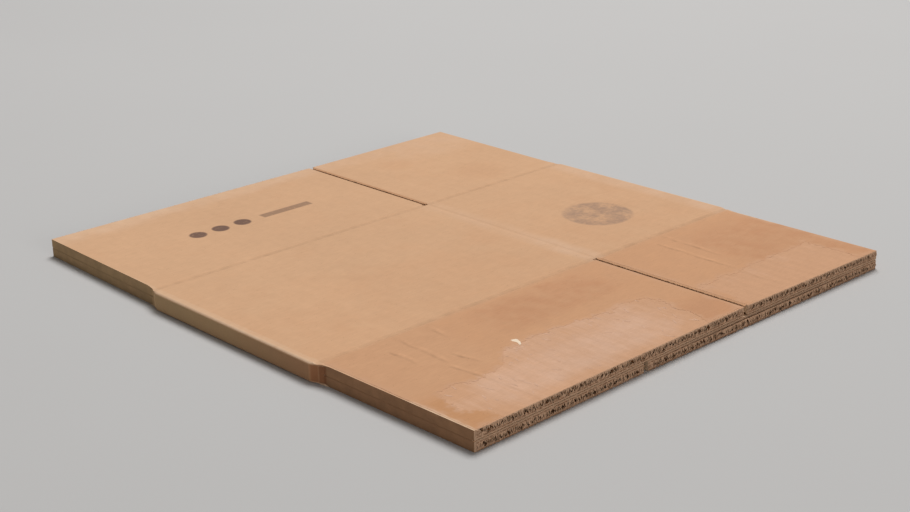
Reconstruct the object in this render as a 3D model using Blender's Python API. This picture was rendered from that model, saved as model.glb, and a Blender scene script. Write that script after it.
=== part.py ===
"""A knocked-down corrugated box, lying flat: one slotted, scored and glued sheet with its eight flaps.

X runs along the flutes, from the rear flaps to the front ones. Y runs across the panels, from one folded
edge to the other. Z is up. The origin is the middle of the footprint, on the surface the box lies on.
The upper layer is a long panel then a short one. The lower layer is the same, turned about the X axis.
"""

import math

import bmesh
import bpy

# Corrugated board
CALIPER = 0.0045
LINER_THICKNESS = 0.0004
MEDIUM_THICKNESS = 0.0003
FLUTE_PITCH = 0.0078

# Panels and flaps of the erected box
LONG_PANEL_WIDTH = 0.2122
SHORT_PANEL_WIDTH = 0.1278
BODY_HEIGHT = 0.1470
REAR_FLAP_LENGTH = 0.1205
FRONT_FLAP_LENGTH = 0.1095

# Slots between neighbouring flaps, and the slanting end of a folded edge beside a slot
SLOT_WIDTH = 0.0034
SHOULDER_LENGTH = 0.0080

# How far the cut ends and the cut sides of the flaps run out of square at their tips
REAR_SHORT_END_SKEW = 0.0010
FRONT_LONG_END_SKEW = 0.0016
FRONT_SHORT_END_SKEW = 0.0032
REAR_LONG_SIDE_DRIFT = 0.0024
FRONT_LONG_SIDE_DRIFT = 0.0014
REAR_SHORT_SIDE_DRIFT = -0.0018
FRONT_SHORT_SIDE_DRIFT = 0.0007

# Folded edges: the two layers spring a little apart, and the crease between them is crushed solid
LAYER_GAP = 0.0022
FOLD_BULGE = 0.0019
FOLD_RADIUS = 0.0018
FOLD_SEGMENTS = 5
CREASE_DEPTH = 0.0056

# Cut edges of the flaps, where the two layers are burred towards each other by the knife
SIDE_BURR_WIDTH = 0.0016
END_BURR_WIDTH = 0.0010
BURR_GAP = 0.0005

# Pressed lines: scores at the foot of each flap, and the crease between the two upper panels
SCORE_WIDTH = 0.0056
SCORE_DEPTH = 0.00045
PANEL_CREASE_WIDTH = 0.0044
PANEL_CREASE_DEPTH = 0.0003
GROOVE_FLOOR_SHARE = 0.35

# Glued joint of the lower layer: a crushed tab of the long panel lies on the inside of the short one
JOINT_GAP = 0.0022
TAB_WIDTH = 0.0320
TAB_CLEARANCE = 0.0004
TAB_END_TAPER = 0.0080
TAB_END_INSET = 0.0030

# Open flutes at the cut ends of the flaps
FLUTE_STOP_MARGIN = 0.0012
FLUTE_SIDE_MARGIN = 0.0006
BOND_SHARE = 0.44
LOW_FLANK_SHARE = 0.33
HIGH_FLANK_SHARE = 0.20
CREST_SHARE = 0.07
UPPER_PHASE_SHARE = 0.20
LOWER_PHASE_SHARE = 0.65

# How far a cutting solid runs past the face it cuts
OVERRUN = 0.0030

# Sizes that follow from the ones above
FLAT_WIDTH = LONG_PANEL_WIDTH + SHORT_PANEL_WIDTH
FOLD_Y = FLAT_WIDTH / 2
PANEL_LINE_Y = LONG_PANEL_WIDTH - FOLD_Y
THICKNESS = 2 * CALIPER + LAYER_GAP
LOWER_INSIDE_Z = CALIPER
UPPER_INSIDE_Z = CALIPER + LAYER_GAP
MIDDLE_Z = THICKNESS / 2
HALF_SLOT = SLOT_WIDTH / 2
CUT_SIDE_Y = FOLD_Y - HALF_SLOT - FOLD_BULGE
HALF_SHOULDER = SHOULDER_LENGTH / 2
REAR_REACH = REAR_FLAP_LENGTH + max(0, REAR_SHORT_END_SKEW)
FRONT_REACH = FRONT_FLAP_LENGTH + max(0, FRONT_LONG_END_SKEW, FRONT_SHORT_END_SKEW)
FLAT_LENGTH = REAR_REACH + BODY_HEIGHT + FRONT_REACH
REAR_SCORE_X = REAR_REACH - FLAT_LENGTH / 2
FRONT_SCORE_X = REAR_SCORE_X + BODY_HEIGHT
REAR_END_X = REAR_SCORE_X - REAR_FLAP_LENGTH
FRONT_END_X = FRONT_SCORE_X + FRONT_FLAP_LENGTH


def clear_scene():
    for obj in list(bpy.data.objects):
        bpy.data.objects.remove(obj, do_unlink=True)


def kraft_material():
    material = bpy.data.materials.new("kraft_board")
    material.use_nodes = True
    shader = material.node_tree.nodes["Principled BSDF"]
    shader.inputs["Base Color"].default_value = (0.56, 0.36, 0.20, 1.0)
    shader.inputs["Roughness"].default_value = 0.86
    shader.inputs["Metallic"].default_value = 0.0
    return material


def object_from(bm, name):
    bmesh.ops.recalc_face_normals(bm, faces=bm.faces)
    mesh = bpy.data.meshes.new(name)
    bm.to_mesh(mesh)
    bm.free()
    obj = bpy.data.objects.new(name, mesh)
    bpy.context.scene.collection.objects.link(obj)
    return obj


def add_prism(bm, ring, shift):
    """Sweeps a closed ring of points along the vector shift and closes both ends."""
    near = [bm.verts.new(point) for point in ring]
    far = [bm.verts.new([a + b for a, b in zip(point, shift)]) for point in ring]
    bm.faces.new(near)
    bm.faces.new(far)
    for index in range(len(ring)):
        following = (index + 1) % len(ring)
        bm.faces.new((near[index], near[following], far[following], far[index]))


def add_block(bm, x_span, y_span, z_span):
    x0, x1 = x_span
    y0, y1 = y_span
    z0, z1 = z_span
    ring = [(x0, y0, z0), (x1, y0, z0), (x1, y1, z0), (x0, y1, z0)]
    add_prism(bm, ring, (0, 0, z1 - z0))


def flat_outline(end_inset, side_inset, fold_inset):
    """The footprint drawn in by the insets, anticlockwise from the rear tip on the long panel's side."""
    rear = REAR_END_X + end_inset
    front = FRONT_END_X - end_inset
    side = CUT_SIDE_Y - side_inset
    fold = FOLD_Y - fold_inset
    return [
        (rear, -side + REAR_LONG_SIDE_DRIFT),
        (REAR_SCORE_X - HALF_SHOULDER, -side),
        (REAR_SCORE_X + HALF_SHOULDER, -fold),
        (FRONT_SCORE_X - HALF_SHOULDER, -fold),
        (FRONT_SCORE_X + HALF_SHOULDER, -side),
        (front + FRONT_LONG_END_SKEW, -side + FRONT_LONG_SIDE_DRIFT),
        (front, PANEL_LINE_Y),
        (front + FRONT_SHORT_END_SKEW, side - FRONT_SHORT_SIDE_DRIFT),
        (FRONT_SCORE_X + HALF_SHOULDER, side),
        (FRONT_SCORE_X - HALF_SHOULDER, fold),
        (REAR_SCORE_X + HALF_SHOULDER, fold),
        (REAR_SCORE_X - HALF_SHOULDER, side),
        (rear - REAR_SHORT_END_SKEW, side - REAR_SHORT_SIDE_DRIFT),
        (rear, PANEL_LINE_Y),
    ]


def folded_stack():
    """Both layers as one block of the footprint's outline, its folded edges and shoulders rounded."""
    bm = bmesh.new()
    add_prism(bm, [(x, y, 0) for x, y in flat_outline(0, 0, 0)], (0, 0, THICKNESS))
    shoulder_start = REAR_SCORE_X - SHOULDER_LENGTH
    shoulder_end = FRONT_SCORE_X + SHOULDER_LENGTH
    inner_y = CUT_SIDE_Y - widest_drift()
    rounded = []
    for edge in bm.edges:
        first, second = (vert.co for vert in edge.verts)
        level = math.isclose(first.z, second.z)
        on_fold = all(shoulder_start < point.x < shoulder_end for point in (first, second))
        at_side = min(abs(first.y), abs(second.y)) > inner_y
        if level and on_fold and at_side and first.y * second.y > 0:
            rounded.append(edge)
    bmesh.ops.bevel(
        bm,
        geom=rounded,
        offset=FOLD_RADIUS,
        offset_type="OFFSET",
        segments=FOLD_SEGMENTS,
        profile=0.5,
        affect="EDGES",
    )
    return object_from(bm, "flattened_box")


def beyond_rear():
    return REAR_END_X - max(0, REAR_SHORT_END_SKEW) - OVERRUN


def beyond_front():
    return FRONT_END_X + max(0, FRONT_LONG_END_SKEW, FRONT_SHORT_END_SKEW) + OVERRUN


def widest_drift():
    """The most that any flap's cut side runs inwards."""
    rear = max(REAR_LONG_SIDE_DRIFT, REAR_SHORT_SIDE_DRIFT)
    front = max(FRONT_LONG_SIDE_DRIFT, FRONT_SHORT_SIDE_DRIFT)
    return max(0, rear, front)


def inside_space():
    """The thin space between the layers, shut by the crushed folds and drawn in from the burred cut edges."""
    plan = flat_outline(END_BURR_WIDTH, SIDE_BURR_WIDTH, CREASE_DEPTH)
    bm = bmesh.new()
    add_prism(bm, [(x, y, LOWER_INSIDE_Z) for x, y in plan], (0, 0, LAYER_GAP))
    return object_from(bm, "inside_space")


def flap_edge_slits():
    """Parts the two layers along the burred ends and sides of the flaps."""
    bm = bmesh.new()
    across = (-FOLD_Y - OVERRUN, FOLD_Y + OVERRUN)
    heights = (MIDDLE_Z - BURR_GAP / 2, MIDDLE_Z + BURR_GAP / 2)
    add_block(bm, (beyond_rear(), REAR_SCORE_X - HALF_SHOULDER), across, heights)
    add_block(bm, (FRONT_SCORE_X + HALF_SHOULDER, beyond_front()), across, heights)
    return object_from(bm, "flap_edge_slits")


def panel_line_slots():
    """The slots between long and short flaps: over one panel line in the upper layer, the other below."""
    bm = bmesh.new()
    upper = (MIDDLE_Z, THICKNESS + OVERRUN)
    lower = (-OVERRUN, MIDDLE_Z)
    for run in ((beyond_rear(), REAR_SCORE_X), (FRONT_SCORE_X, beyond_front())):
        add_block(bm, run, (PANEL_LINE_Y - HALF_SLOT, PANEL_LINE_Y + HALF_SLOT), upper)
        add_block(bm, run, (-PANEL_LINE_Y - HALF_SLOT, -PANEL_LINE_Y + HALF_SLOT), lower)
    return object_from(bm, "panel_line_slots")


def glue_tab():
    """The tab on the inside of the lower short panel, its ends cut at a slant."""
    bm = bmesh.new()
    root = -PANEL_LINE_Y + JOINT_GAP
    tip = -PANEL_LINE_Y - TAB_WIDTH
    rear = REAR_SCORE_X + TAB_END_INSET
    front = FRONT_SCORE_X - TAB_END_INSET
    foot = LOWER_INSIDE_Z - LINER_THICKNESS
    top = UPPER_INSIDE_Z - TAB_CLEARANCE
    ring = [
        (rear, root, foot),
        (front, root, foot),
        (front - TAB_END_TAPER, tip, foot),
        (rear + TAB_END_TAPER, tip, foot),
    ]
    add_prism(bm, ring, (0, 0, top - foot))
    return object_from(bm, "glue_tab")


def joint_seam():
    """The open seam under the tab, between the short panel's cut edge and the long panel."""
    bm = bmesh.new()
    seam = (-PANEL_LINE_Y - JOINT_GAP / 2, -PANEL_LINE_Y + JOINT_GAP / 2)
    floor = LOWER_INSIDE_Z - LINER_THICKNESS / 2
    add_block(bm, (REAR_SCORE_X - OVERRUN, FRONT_SCORE_X + OVERRUN), seam, (-OVERRUN, floor))
    return object_from(bm, "joint_seam")


def groove_section(middle, width, depth, surface, outward):
    """A shallow groove with sloping sides, as (across, height) points around a surface."""
    rim = width / 2
    floor = rim * GROOVE_FLOOR_SHARE
    lift = outward * OVERRUN
    sink = -outward * depth
    return [
        (middle - rim, surface + lift),
        (middle + rim, surface + lift),
        (middle + rim, surface),
        (middle + floor, surface + sink),
        (middle - floor, surface + sink),
        (middle - rim, surface),
    ]


def flap_scores():
    """Pressed lines across both faces at the foot of the flaps."""
    bm = bmesh.new()
    reach = FOLD_Y + OVERRUN
    for score_x in (REAR_SCORE_X, FRONT_SCORE_X):
        for surface, outward in ((THICKNESS, 1), (0, -1)):
            section = groove_section(score_x, SCORE_WIDTH, SCORE_DEPTH, surface, outward)
            add_prism(bm, [(x, -reach, z) for x, z in section], (0, 2 * reach, 0))
    return object_from(bm, "flap_scores")


def panel_crease():
    """The pressed line between the upper long and short panels, from slot to slot."""
    bm = bmesh.new()
    section = groove_section(PANEL_LINE_Y, PANEL_CREASE_WIDTH, PANEL_CREASE_DEPTH, THICKNESS, 1)
    start = REAR_SCORE_X - OVERRUN
    run = BODY_HEIGHT + 2 * OVERRUN
    add_prism(bm, [(start, y, z) for y, z in section], (run, 0, 0))
    return object_from(bm, "panel_crease")


def flute_half_section():
    """The hollow under one crest of the wave, as (across, height) points from its glued foot."""
    hollow = CALIPER - 2 * LINER_THICKNESS
    swing = (hollow - MEDIUM_THICKNESS) / 2
    turn = 2 * math.pi
    half = [(BOND_SHARE * FLUTE_PITCH, 0)]
    for share in (LOW_FLANK_SHARE, HIGH_FLANK_SHARE, CREST_SHARE):
        slope = swing * turn / FLUTE_PITCH * math.sin(turn * share)
        cover = MEDIUM_THICKNESS / 2 * math.hypot(1, slope)
        half.append((share * FLUTE_PITCH, hollow / 2 + swing * math.cos(turn * share) - cover))
    return half


def flute_ring(middle, foot, direction):
    """A whole hollow as (y, z) points, standing on foot or hanging from it."""
    half = flute_half_section()
    right = [(middle + across, foot + direction * height) for across, height in half]
    left = [(middle - across, foot + direction * height) for across, height in reversed(half)]
    return right + left


def add_flutes(bm, y_span, z_low, phase_share, x_start, x_end):
    """Every hollow, above and below the wave, that lies whole between a flap's two cut sides."""
    low, high = y_span
    reach = BOND_SHARE * FLUTE_PITCH + FLUTE_SIDE_MARGIN
    feet = ((0, z_low + LINER_THICKNESS, 1), (0.5, z_low + CALIPER - LINER_THICKNESS, -1))
    count = math.ceil((high - low) / FLUTE_PITCH) + 1
    first = math.floor(low / FLUTE_PITCH)
    for step_share, foot, direction in feet:
        for index in range(first, first + count + 1):
            middle = (index + phase_share + step_share) * FLUTE_PITCH
            if low + reach < middle < high - reach:
                ring = [(x_start, y, z) for y, z in flute_ring(middle, foot, direction)]
                add_prism(bm, ring, (x_end - x_start, 0, 0))


def open_flutes():
    """The open flutes of all eight flaps, from the cut ends to the crushed scores."""
    bm = bmesh.new()
    stop = SCORE_WIDTH / 2 + FLUTE_STOP_MARGIN
    side = CUT_SIDE_Y - widest_drift()
    layers = (
        (UPPER_INSIDE_Z, UPPER_PHASE_SHARE, PANEL_LINE_Y),
        (0, LOWER_PHASE_SHARE, -PANEL_LINE_Y),
    )
    runs = ((beyond_rear(), REAR_SCORE_X - stop), (FRONT_SCORE_X + stop, beyond_front()))
    for z_low, phase_share, line_y in layers:
        for x_start, x_end in runs:
            add_flutes(bm, (-side, line_y - HALF_SLOT), z_low, phase_share, x_start, x_end)
            add_flutes(bm, (line_y + HALF_SLOT, side), z_low, phase_share, x_start, x_end)
    return object_from(bm, "open_flutes")


def combine(target, tool, operation):
    """Adds a live Boolean to the box, and keeps its tool as a hidden wire guide."""
    modifier = target.modifiers.new(tool.name, "BOOLEAN")
    modifier.operation = operation
    modifier.solver = "EXACT"
    modifier.object = tool
    tool.hide_render = True
    tool.display_type = "WIRE"


def build_box():
    box = folded_stack()
    combine(box, inside_space(), "DIFFERENCE")
    combine(box, glue_tab(), "UNION")
    for cutter in (flap_edge_slits(), panel_line_slots(), joint_seam(), flap_scores(), panel_crease()):
        combine(box, cutter, "DIFFERENCE")
    combine(box, open_flutes(), "DIFFERENCE")
    box.data.materials.append(kraft_material())
    box.data.shade_flat()
    return box


clear_scene()
build_box()
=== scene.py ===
"""Looks of a knocked-down corrugated box: kraft board, torn front flaps, frayed cuts and the studio.

X runs along the flutes from the rear flaps to the front ones, Y across the panels, Z up. Settings are in
metres. Places inside the materials, on the torn flaps and along the cuts are in millimetres, because they
are easier to read so.
"""

import math
import random

import bpy
from bpy.props import FloatProperty, FloatVectorProperty, IntProperty, PointerProperty
from mathutils import Matrix, Vector, noise


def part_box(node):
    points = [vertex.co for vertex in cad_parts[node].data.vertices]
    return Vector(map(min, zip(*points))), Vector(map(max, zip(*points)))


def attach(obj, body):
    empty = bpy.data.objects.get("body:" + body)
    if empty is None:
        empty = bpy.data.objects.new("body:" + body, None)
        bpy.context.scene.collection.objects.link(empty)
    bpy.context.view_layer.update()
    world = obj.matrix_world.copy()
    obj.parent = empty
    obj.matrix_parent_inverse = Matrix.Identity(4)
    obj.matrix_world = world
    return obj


bl_info = {
    "name": "Flattened Box Looks",
    "version": (1, 0, 0),
    "blender": (4, 5, 0),
    "location": "View3D > Sidebar > Flattened Box",
    "description": "Finishes a knocked-down corrugated box and sets it on a studio floor",
    "category": "Object",
}

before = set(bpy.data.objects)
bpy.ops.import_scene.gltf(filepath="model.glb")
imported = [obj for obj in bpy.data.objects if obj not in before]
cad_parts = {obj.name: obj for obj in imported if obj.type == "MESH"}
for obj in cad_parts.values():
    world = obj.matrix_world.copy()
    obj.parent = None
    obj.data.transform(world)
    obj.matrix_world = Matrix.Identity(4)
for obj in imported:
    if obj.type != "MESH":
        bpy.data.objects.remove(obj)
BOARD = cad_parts["flattened_box"]
LOW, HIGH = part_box("flattened_box")
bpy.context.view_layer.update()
BODY = "root"
MM = 0.001
TURN = 2 * math.pi
# Name of the attribute that holds how deep a point lies inside the torn border
BORDER_DEPTH = "border_depth"
# Sockets of a Mix node that mixes colours
MIX_FIRST = 6
MIX_SECOND = 7
MIX_RESULT = 2
# The brightness curve of a screen: a straight start, then a bent rest
SCREEN_WHITE = 255
SCREEN_START = 0.04045
SCREEN_SLOPE = 12.92
SCREEN_OFFSET = 0.055
SCREEN_BEND = 2.4


def shown(red, green, blue):
    """A colour as it shows on a screen, 0 to 255, turned into a surface colour under full light."""
    channels = []
    for value in (red, green, blue):
        level = value / SCREEN_WHITE
        bent = ((level + SCREEN_OFFSET) / (1 + SCREEN_OFFSET)) ** SCREEN_BEND
        channels.append(level / SCREEN_SLOPE if level <= SCREEN_START else bent)
    return tuple(channels)


def length(name, description, default):
    return FloatProperty(name=name, description=description, default=default, unit="LENGTH", precision=5)


def share(name, description, default):
    return FloatProperty(name=name, description=description, default=default)


def power(name, description, default):
    return FloatProperty(name=name, description=description, default=default, unit="POWER")


def colour(name, description, default):
    return FloatVectorProperty(
        name=name, description=description, default=default, subtype="COLOR", size=3, min=0.0, max=1.0
    )


class BoxLayout(bpy.types.PropertyGroup):
    """Where the panels, flaps and slots lie on the flat box."""

    rear_flap: length("Rear flaps", "From the rear end to the rear score", 0.1215)
    front_flap: length("Front flaps", "From the front end to the front score", 0.1127)
    long_panel: length("Long panel", "Width of the upper long panel", 0.2122)
    slot_width: length("Slot", "Width of the slots between flaps", 0.0034)
    score_width: length("Score", "Width of the pressed scores", 0.0056)
    fold_step: length("Fold step", "How far the folds stand proud of the flaps' cut sides", 0.0036)
    short_skew: length("Short flap's skew", "How far the front short flap's end runs out of square", 0.0032)
    long_skew: length("Long flap's skew", "How far the front long flap's end runs out of square", 0.0016)
    long_drift: length("Long flap's drift", "How far the front long flap's side runs inwards", 0.0014)
    short_drift: length("Short flap's drift", "How far the front short flap's side runs inwards", 0.0007)
    rear_long_drift: length(
        "Rear long flap's drift", "How far the rear long flap's side runs inwards", 0.0024
    )
    rear_short_drift: length(
        "Rear short flap's drift", "How far the rear short flap's side runs inwards", -0.0018
    )


class BoardLook(bpy.types.PropertyGroup):
    """Section and colours of the corrugated board."""

    flute_pitch: length("Flute pitch", "From one crest of the wave to the next", 0.0078)
    caliper: length("Caliper", "Thickness of one layer of board", 0.0045)
    liner: length("Liner", "Thickness of a liner", 0.0004)
    wave_phase: share("Wave phase", "Where the upper wave starts, as a share of the pitch", 0.20)
    kraft: colour("Kraft", "Outer liner", shown(211, 168, 131))
    kraft_dark: colour("Darker kraft", "Outer liner towards the front", shown(206, 158, 120))
    # Pale kraft: dust, and also painted sheen at the rear end and a painted highlight along the crease
    kraft_pale: colour("Pale kraft", "Rubbed and dusty liner, also painted sheen and highlights", shown(216, 178, 147))
    kraft_orange: colour("Orange kraft", "Bare ply at the front corner", shown(199, 146, 103))
    ply: colour("Ply", "Top ply of the front flaps", shown(205, 155, 116))
    ply_red: colour("Reddened ply", "Ply with glue remains", shown(195, 143, 106))
    torn: colour("Torn paper", "Inner fibres where the top ply is gone", shown(206, 159, 124))
    # Painted highlight: the pale colour of the top edges, the folds' crests and the rear end's rim
    rim: colour("Rim highlight", "Painted highlight along edges and crests", shown(226, 192, 160))
    torn_pale: colour("Torn fibres", "Palest fibres of the torn patch", shown(214, 173, 145))
    cut: colour("Cut edge", "Cut edges of liners and wave", shown(188, 152, 123))
    # The cut sides' colour: darker than the liner partly from the crushed cut and partly as painted shade
    side: colour("Cut side", "Sides of the flaps, crushed by the slotting knife", shown(184, 151, 111))
    # Painted shade: the near side darker and browner towards the front
    side_front_shade: colour("Shaded side", "The same sides towards the front", shown(172, 128, 93))
    # Painted shade: the dark front shoulder of a fold, which lies in shadow
    shoulder: colour("Shoulder shade", "Front shoulder of the fold", shown(150, 98, 64))
    # The wave paper's colour, raised paler as painted light in the flutes' shade
    wave_paper_with_painted_light: colour("Wave paper", "Inside the flutes and between the layers", shown(230, 199, 166))
    fleck: colour("Fleck", "Pale scrap of lifted paper", shown(243, 222, 196))
    speck: colour("Bark speck", "Dark specks in the liner", shown(128, 88, 56))


class TearLook(bpy.types.PropertyGroup):
    """The top ply that stayed on the front flaps where tape was pulled off."""

    ply: length("Ply", "Thickness of the liner's top ply", 0.00006)
    lift: length("Lift", "How high a loose border of the ply stands", 0.00004)
    cell: length("Mesh cell", "Size of a mesh cell of the ply", 0.00115)
    raggedness: length("Raggedness", "How far the border wanders", 0.0040)
    wrinkle: length("Wrinkle", "Height of the long wrinkles", 0.00004)
    margin: length("Margin", "From the cut edges to the ply", 0.0007)
    shreds: IntProperty(name="Shreds", description="Loose shreds in the torn patch", default=70, min=0)


class CutLook(bpy.types.PropertyGroup):
    """Frayed paper along the cut edges."""

    reach: length("Reach", "How far the longest fibres stand out", 0.0011)
    burr: length("Burr", "How far the longest burrs hang over the flutes", 0.0030)
    step: length("Step", "From one tooth of a frayed edge to the next", 0.00036)
    paper: length("Paper", "Thickness of a frayed edge", 0.00012)
    slot_reach: length("Slot rims", "How far the pressed rims of the slots reach into them", 0.0013)


class PrintLook(bpy.types.PropertyGroup):
    """Plain ink marks."""

    ink: colour("Ink", "Dark ink of the discs", shown(96, 72, 66))
    grey_ink: colour("Grey ink", "Thin ink of the round field", shown(148, 121, 106))


class StageLook(bpy.types.PropertyGroup):
    """Floor, lights and camera."""

    floor: colour("Floor", "Colour of the floor", (0.55, 0.54, 0.53))
    key_power: power("Key light", "Power of the large soft light", 100.0)
    fill_power: power("Fill light", "Power of the weak front light", 36.0)
    sky: share("Surround", "Strength of the plain surround", 0.16)
    lens: FloatProperty(
        name="Lens", description="Focal length on a 36 mm wide sensor", default=61.82, unit="CAMERA"
    )


def group(name):
    return getattr(bpy.context.scene, name)


class Plan:
    """Places of the box's lines in millimetres, from the loaded box and its layout."""

    def __init__(self):
        layout = group("box_layout")
        self.rear_tip = LOW.x / MM
        self.tip = HIGH.x / MM
        self.rear = (LOW.x + layout.rear_flap) / MM
        self.front = (HIGH.x - layout.front_flap) / MM
        self.body_middle = (self.rear + self.front) / 2
        self.body_length = self.front - self.rear
        self.line = (LOW.y + layout.long_panel) / MM
        self.fold = HIGH.y / MM
        self.side = self.fold - layout.fold_step / MM
        self.half_slot = layout.slot_width / 2 / MM
        self.half_score = layout.score_width / 2 / MM
        self.top = HIGH.z / MM
        self.bottom = LOW.z / MM
        self.middle = (self.top + self.bottom) / 2
        self.end = (HIGH.x - layout.short_skew) / MM
        for name in ("short_skew", "long_skew", "short_drift", "long_drift"):
            setattr(self, name, getattr(layout, name) / MM)
        self.rear_long_drift = layout.rear_long_drift / MM
        self.rear_short_drift = layout.rear_short_drift / MM

    def front_end(self, py):
        """Where the front flaps are cut off, at py across the box."""
        if py < self.line:
            return self.end + self.long_skew * (self.line - py) / (self.line + self.side)
        return self.end + self.short_skew * (py - self.line) / (self.side - self.line)

    def long_side(self, px):
        """Where the front long flap's cut side runs, at px along the box."""
        return -self.side + self.long_drift * (px - self.front) / (self.end - self.front)

    def short_side(self, px):
        """Where the front short flap's cut side runs, at px along the box."""
        return self.side - self.short_drift * (px - self.front) / (self.end - self.front)


def joining(operation, flipped=False):
    """A method of Field that works out one operation on the field and another value."""

    def method(self, other):
        pair = (other, self) if flipped else (self, other)
        return self.maths(operation, *pair)

    return method


class Field:
    """One socket of a material's nodes, used in sums and products like a number."""

    def __init__(self, graph, socket):
        self.graph = graph
        self.socket = socket

    def other(self, name):
        return Field(self.graph, self.socket.node.outputs[name])

    def maths(self, operation, *values):
        return self.graph.node("ShaderNodeMath", {"operation": operation}, dict(enumerate(values)))

    __add__ = __radd__ = joining("ADD")
    __sub__ = joining("SUBTRACT")
    __rsub__ = joining("SUBTRACT", flipped=True)
    __mul__ = __rmul__ = joining("MULTIPLY")
    __truediv__ = joining("DIVIDE")
    __rtruediv__ = joining("DIVIDE", flipped=True)
    __pow__ = joining("POWER")
    least = joining("MINIMUM")
    most = joining("MAXIMUM")

    def __abs__(self):
        return self.maths("ABSOLUTE", self)

    def wave(self):
        return self.maths("COSINE", self)

    def held(self):
        """Kept between 0 and 1."""
        return self.least(1.0).most(0.0)

    def rise(self, start, end, line=0.0):
        """0 before start, 1 after end, smooth between, both counted from line. It falls if end is less."""
        limits = {"Value": self, "From Min": line + start, "From Max": line + end}
        return self.graph.node("ShaderNodeMapRange", {"interpolation_type": "SMOOTHSTEP"}, limits)

    def near(self, middle, width, soft):
        """1 within half the width of middle, falling to 0 over soft."""
        return abs(self - middle).rise(width / 2 + soft, width / 2)


class Graph:
    """The nodes of one material, with the place on the piece in millimetres and how the surface faces."""

    def __init__(self, name):
        self.material = bpy.data.materials.new(name)
        self.material.use_nodes = True
        self.tree = self.material.node_tree
        self.tree.nodes.clear()
        self.at = self.shade(self.node("ShaderNodeTexCoord", output="Object"), 1 / MM)
        self.x = self.node("ShaderNodeSeparateXYZ", None, {0: self.at})
        self.y = self.x.other("Y")
        self.z = self.x.other("Z")
        normal = self.node("ShaderNodeTexCoord", output="Normal")
        self.ends = self.node("ShaderNodeSeparateXYZ", None, {0: normal})
        self.sides = self.ends.other("Y")
        self.ups = self.ends.other("Z")

    def node(self, kind, options=None, sockets=None, output=0):
        made = self.tree.nodes.new(kind)
        for name, value in (options or {}).items():
            setattr(made, name, value)
        for name, value in (sockets or {}).items():
            if isinstance(value, Field):
                self.tree.links.new(value.socket, made.inputs[name])
            else:
                made.inputs[name].default_value = value
        return Field(self, made.outputs[output]) if len(made.outputs) else None

    def mix(self, factor, first, second):
        """Second over first where factor is 1. Both are colours."""
        sockets = {0: factor, MIX_FIRST: opaque(first), MIX_SECOND: opaque(second)}
        return self.node("ShaderNodeMix", {"data_type": "RGBA"}, sockets, output=MIX_RESULT)

    def plain(self, tint):
        """One colour as a field, so that it can be shaded."""
        return self.mix(0.0, tint, tint)

    def shade(self, tint, amount):
        return self.node("ShaderNodeVectorMath", {"operation": "SCALE"}, {0: tint, "Scale": amount})

    def stretch(self, factors):
        """The place times three factors. A small factor draws a pattern out along its axis."""
        return self.node("ShaderNodeVectorMath", {"operation": "MULTIPLY"}, {0: self.at, 1: factors})

    def noise(self, grain, detail=3.0, rough=0.5, factors=None):
        """Cloudy noise around zero. grain is the size of its clouds in millimetres."""
        at = self.stretch(factors) if factors else self.at
        sockets = {"Vector": at, "Scale": 1 / grain, "Detail": detail, "Roughness": rough}
        return self.node("ShaderNodeTexNoise", None, sockets) - 0.5

    def cells(self, grain):
        """Distance to the nearest scattered point, in millimetres."""
        sockets = {"Vector": self.at, "Scale": 1 / grain, "Randomness": 1.0}
        return self.node("ShaderNodeTexVoronoi", None, sockets) * grain

    def blot(self, middle, radius, soft):
        """A round soft spot: 1 within the radius."""
        along = self.x - middle[0]
        across = self.y - middle[1]
        return ((along * along + across * across) ** 0.5).rise(radius + soft, radius)

    def finish(self, tint, rough, height, sheen=0.25):
        """Closes the graph with a Principled shader. height is the relief in millimetres."""
        bump = self.node("ShaderNodeBump", None, {"Strength": 1.0, "Distance": MM, "Height": height})
        sockets = {"Base Color": tint, "Roughness": rough, "Normal": bump, "Specular IOR Level": sheen}
        shader = self.node("ShaderNodeBsdfPrincipled", None, sockets)
        self.node("ShaderNodeOutputMaterial", None, {"Surface": shader})
        return self.material


def opaque(tint):
    return tint if isinstance(tint, Field) else (*tint, 1.0)


# Layers of the liner's pattern: size in millimetres, detail and roughness
CLOUDS = (55.0, 3.0, 0.5)
PATCHES = (9.0, 4.0, 0.6)
STRANDS = (0.9, 3.0, 0.65)
FINE_GRAIN = (0.45, 2.0, 0.5)
# Stretches of a pattern that draw it out across the flutes or along them
ACROSS_FLUTES = (1.0, 0.16, 1.0)
ALONG_FLUTES = (0.16, 1.0, 1.0)
# Bark specks in millimetres: how far apart they lie, and their outer and inner radius
SPECK_SPACING = 3.4
SPECK_RADII = (0.34, 0.14)


def paper_grain(graph):
    """Tone and relief of the liner itself: cloudy formation, fibres across the flutes and bark specks."""
    clouds = graph.noise(*CLOUDS)
    patches = graph.noise(*PATCHES)
    strands = graph.noise(*STRANDS, factors=ACROSS_FLUTES)
    fine = graph.noise(*FINE_GRAIN)
    specks = graph.cells(SPECK_SPACING).rise(*SPECK_RADII)
    tone = 1 + 0.09 * clouds + 0.10 * patches + 0.20 * strands + 0.10 * fine
    relief = 0.030 * patches + 0.022 * strands + 0.012 * fine
    return tone, relief, specks


# Wrinkles of the front flaps in millimetres: middle line, slope, and where each starts and ends along X
WRINKLES = (
    (98.0, -0.030, 80.0, 132.0),
    (85.5, -0.015, 88.0, 150.0),
    (82.0, 0.030, 150.0, 186.0),
    (-98.5, -0.020, 82.0, 104.0),
    (-112.5, 0.160, 116.0, 139.0),
    (-120.5, -0.010, 84.0, 128.0),
    (-124.8, 0.150, 125.0, 153.0),
    (-121.0, 0.050, 152.0, 186.0),
    (-133.0, -0.030, 92.0, 118.0),
)
# Their sway, its length, their fades at the ends, and middle, width and soft border of crease and ridge
WRINKLE_SWAY = 6.0
WRINKLE_SWAY_LENGTH = 34.0
WRINKLE_FADES = (5, 9)
WRINKLE_CREASE = (0.0, 0.5, 1.5)
WRINKLE_RIDGE = (2.3, 0.6, 2.0)


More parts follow.
